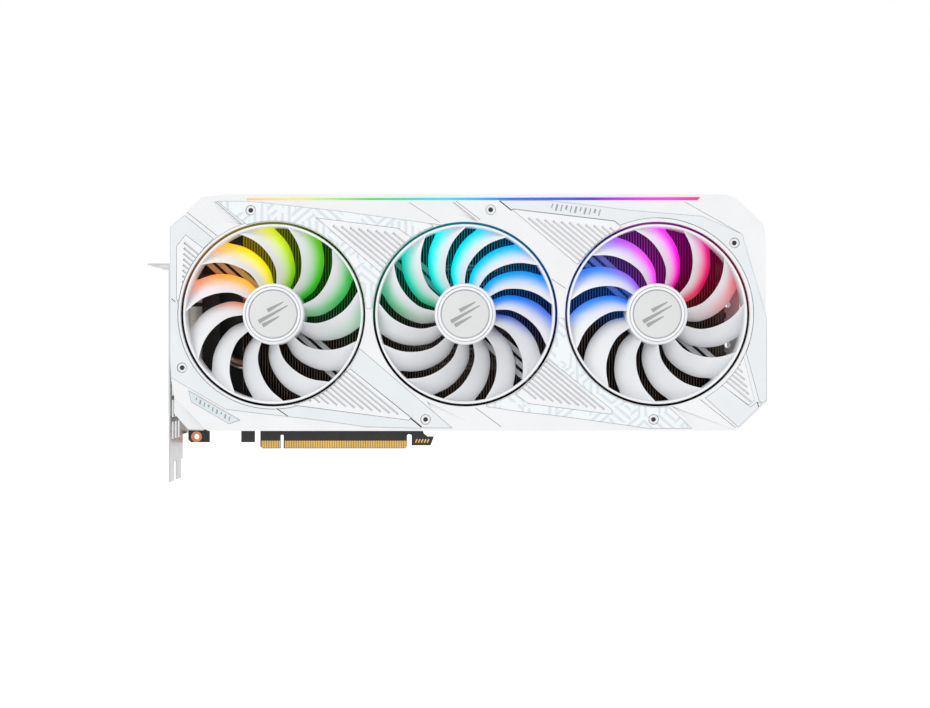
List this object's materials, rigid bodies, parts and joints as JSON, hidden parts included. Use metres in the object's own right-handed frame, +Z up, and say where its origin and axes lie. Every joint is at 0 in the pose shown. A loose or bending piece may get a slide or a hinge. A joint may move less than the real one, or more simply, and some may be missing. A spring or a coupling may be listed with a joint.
{
  "type": "graphics card",
  "caption": "White graphics card with fans in a faceted shroud, finned heat sink, slot edge, bracket with display ports and backplate.",
  "frame": {"origin": "centre of the slot key at the lower end of the board's edge connector, on the board's front face", "axes": "+X along the card away from the bracket, +Z up from the slot, the fans face -Y"},
  "size_m": [0.335, 0.0578, 0.1555],
  "materials": {
    "white_shell": "satin",
    "white_plastic": "satin",
    "blade_plastic": "satin",
    "cap_metal": "satin",
    "grey_plastic": "matte",
    "black_plastic": "matte",
    "board_black": "satin solder mask",
    "gold": "polished gold plate",
    "fin_black": "dark anodised",
    "pipe_nickel": "nickel-plated copper",
    "plate_nickel": "nickel-plated copper",
    "steel": "brushed",
    "dark_metal": "matte black",
    "chip_black": "matte",
    "choke_grey": "matte",
    "substrate_green": "satin",
    "silicon": "polished",
    "pad_grey": "matte",
    "magnet": "matte",
    "copper": "enamelled copper wire",
    "light_lens": "frosted"
  },
  "bodies": {
    "card": {"circuit_board": "board_black", "edge_contacts": "gold", "gpu_substrate": "substrate_green", "gpu_die": "silicon", "memory_chips": "chip_black", "power_chokes": "choke_grey", "power_stages": "chip_black", "capacitors": "dark_metal", "power_socket_1": "black_plastic", "power_socket_2": "black_plastic", "power_socket_3": "black_plastic", "case_fan_sockets": "white_plastic", "bios_switch_body": "black_plastic", "fin_stack": "fin_black", "heat_pipes": "pipe_nickel", "cold_plate": "plate_nickel", "thermal_pads": "pad_grey", "stiffening_frame": "dark_metal", "rib_insert_left": "white_plastic", "vent_insert_upper_left": "white_plastic", "vent_insert_upper_right": "white_plastic", "vent_insert_lower_left": "white_plastic", "vent_insert_lower_right": "white_plastic", "rib_insert_right": "white_plastic", "badge_plate": "cap_metal", "light_bar": "light_lens", "light_bar_board": "white_plastic", "shroud_screws": "steel", "front_shroud": "white_plastic", "io_bracket": "steel", "displayport_sockets": "steel", "hdmi_sockets": "steel", "bracket_screws": "steel", "backplate": "white_shell", "spring_cross": "steel", "spring_screws": "steel", "backplate_screws": "steel", "backplate_spacers": "steel", "fan_left_coils": "copper", "fan_left_frame": "grey_plastic", "fan_center_coils": "copper", "fan_center_frame": "grey_plastic", "fan_right_coils": "copper", "fan_right_frame": "grey_plastic"},
    "bios_lever": {"bios_switch_lever": "white_plastic"},
    "fan_left": {"fan_left_rotor": "blade_plastic", "fan_left_hub_cap": "cap_metal", "fan_left_shaft": "steel", "fan_left_magnet_ring": "magnet"},
    "fan_center": {"fan_center_rotor": "blade_plastic", "fan_center_hub_cap": "cap_metal", "fan_center_shaft": "steel", "fan_center_magnet_ring": "magnet"},
    "fan_right": {"fan_right_rotor": "blade_plastic", "fan_right_hub_cap": "cap_metal", "fan_right_shaft": "steel", "fan_right_magnet_ring": "magnet"}
  },
  "joints": [
    {"name": "fan_left_spin", "type": "hinge", "parent": "card", "child": "fan_left", "pos_m": [0.004, -0.046, 0.0762], "axis": [0, 1, 0], "continuous": true},
    {"name": "fan_center_spin", "type": "hinge", "parent": "card", "child": "fan_center", "pos_m": [0.1065, -0.046, 0.0762], "axis": [0, 1, 0], "continuous": true},
    {"name": "fan_right_spin", "type": "hinge", "parent": "card", "child": "fan_right", "pos_m": [0.209, -0.046, 0.0762], "axis": [0, 1, 0], "continuous": true},
    {"name": "bios_slide", "type": "slide", "parent": "card", "child": "bios_lever", "axis": [1, 0, 0], "range_m": [0, 0.002]}
  ]
}
